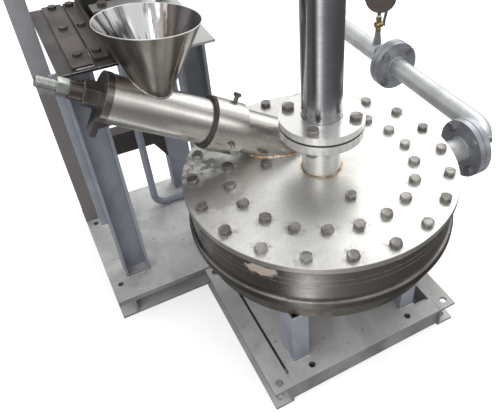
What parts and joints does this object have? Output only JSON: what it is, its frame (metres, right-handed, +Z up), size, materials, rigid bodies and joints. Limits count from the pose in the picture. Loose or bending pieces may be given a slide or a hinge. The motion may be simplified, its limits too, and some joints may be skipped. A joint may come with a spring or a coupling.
{
  "type": "spiral jet mill",
  "caption": "Flat round bolted grinding mill with central discharge pipe, inclined injector feed with hopper, flanged air line with gauge and cock, on welded channel frames.",
  "frame": {"origin": "centre of the mill base's four anchor holes, on the floor", "axes": "+Z up; +X along the mill base's front edge, from the feeder stand's side to the air line's side; +Y to the back"},
  "size_m": [1.0892, 1.132, 0.968],
  "materials": {
    "painted_frame": "satin",
    "machined_steel": "satin",
    "stainless": "brushed",
    "zinc_fastener": "satin",
    "gasket": "matt",
    "galvanised_pipe": "satin",
    "dark_steel": "matt",
    "blue_grey_steel": "satin",
    "brass": "satin",
    "lever_steel": "satin",
    "gauge_brown": "satin",
    "dial_white": "matt",
    "needle_black": "matt",
    "clear_glass": "clear"
  },
  "bodies": {
    "mill": {"base_side_channels": "painted_frame", "base_cross_channels": "painted_frame", "base_plate": "painted_frame", "mill_legs": "machined_steel", "base_drum": "machined_steel", "bottom_flange": "machined_steel", "body_ring": "machined_steel", "grinding_ring": "stainless", "jet_nozzles": "zinc_fastener", "bottom_liner": "stainless", "top_liner": "stainless", "outlet_collar": "stainless", "cover_gasket": "gasket", "cover_plate": "stainless", "cover_bolts_long": "zinc_fastener", "cover_bolts_short": "zinc_fastener", "outlet_stub": "stainless", "outlet_gasket": "gasket", "discharge_pipe": "stainless", "outlet_bolts": "zinc_fastener", "flange_nuts": "zinc_fastener", "feed_socket": "stainless", "seal_ring": "gasket", "injector_body": "stainless", "venturi_insert": "stainless", "feed_hopper": "stainless", "end_cap": "dark_steel", "gland_nut": "dark_steel", "inlet_nozzle": "galvanised_pipe", "air_gaskets": "gasket", "air_pipe": "galvanised_pipe", "supply_pipe": "galvanised_pipe", "air_bolts": "zinc_fastener", "gauge_nipple": "galvanised_pipe", "cock_body": "brass", "gauge_case": "gauge_brown", "gauge_dial": "dial_white", "gauge_glass": "clear_glass", "stand_channels": "painted_frame", "stand_plate": "painted_frame", "stand_legs": "blue_grey_steel", "leg_strip": "blue_grey_steel", "stand_rear_post": "blue_grey_steel", "stand_beam": "dark_steel", "stand_gussets": "dark_steel", "stand_table": "dark_steel", "feeder_bed": "dark_steel", "feeder_bolts": "zinc_fastener", "feeder_casing": "dark_steel", "hopper_strap": "galvanised_pipe", "strap_post": "dark_steel", "brace_rod": "galvanised_pipe", "cap_bracket": "dark_steel"},
    "stem": {"nozzle_stem": "zinc_fastener"},
    "locknut": {"lock_nut": "zinc_fastener"},
    "screw_a": {"set_screw_a": "zinc_fastener"},
    "screw_b": {"set_screw_b": "zinc_fastener"},
    "screw_c": {"set_screw_c": "zinc_fastener"},
    "lever": {"cock_lever": "lever_steel"},
    "needle": {"gauge_needle": "needle_black"}
  },
  "joints": [
    {"name": "nozzle_adjust", "type": "slide", "parent": "mill", "child": "stem", "axis": [-0.8613, 0.0905, 0.5], "range_m": [0, 0.025]},
    {"name": "lock_nut_turn", "type": "hinge", "parent": "stem", "child": "locknut", "pos_m": [-0.44909, 0.24075, 0.671], "axis": [-0.8613, 0.0905, 0.5], "continuous": true},
    {"name": "set_screw_a_slide", "type": "slide", "parent": "mill", "child": "screw_a", "axis": [0.5068, 0.2239, 0.8325], "range_m": [0, 0.007]},
    {"name": "set_screw_b_slide", "type": "slide", "parent": "mill", "child": "screw_b", "axis": [-0.2217, -0.9523, -0.2095], "range_m": [0, 0.007]},
    {"name": "set_screw_c_slide", "type": "slide", "parent": "mill", "child": "screw_c", "axis": [-0.2851, 0.7284, -0.623], "range_m": [0, 0.007]},
    {"name": "cock_lever_turn", "type": "hinge", "parent": "mill", "child": "lever", "pos_m": [0.517, 0.559, 0.448], "axis": [1, 0, 0], "range_deg": [0, 90]},
    {"name": "gauge_needle_turn", "type": "hinge", "parent": "mill", "child": "needle", "pos_m": [0.517, 0.559, 0.54], "axis": [0.5, 0.866, 0], "range_deg": [-270, 0]}
  ]
}
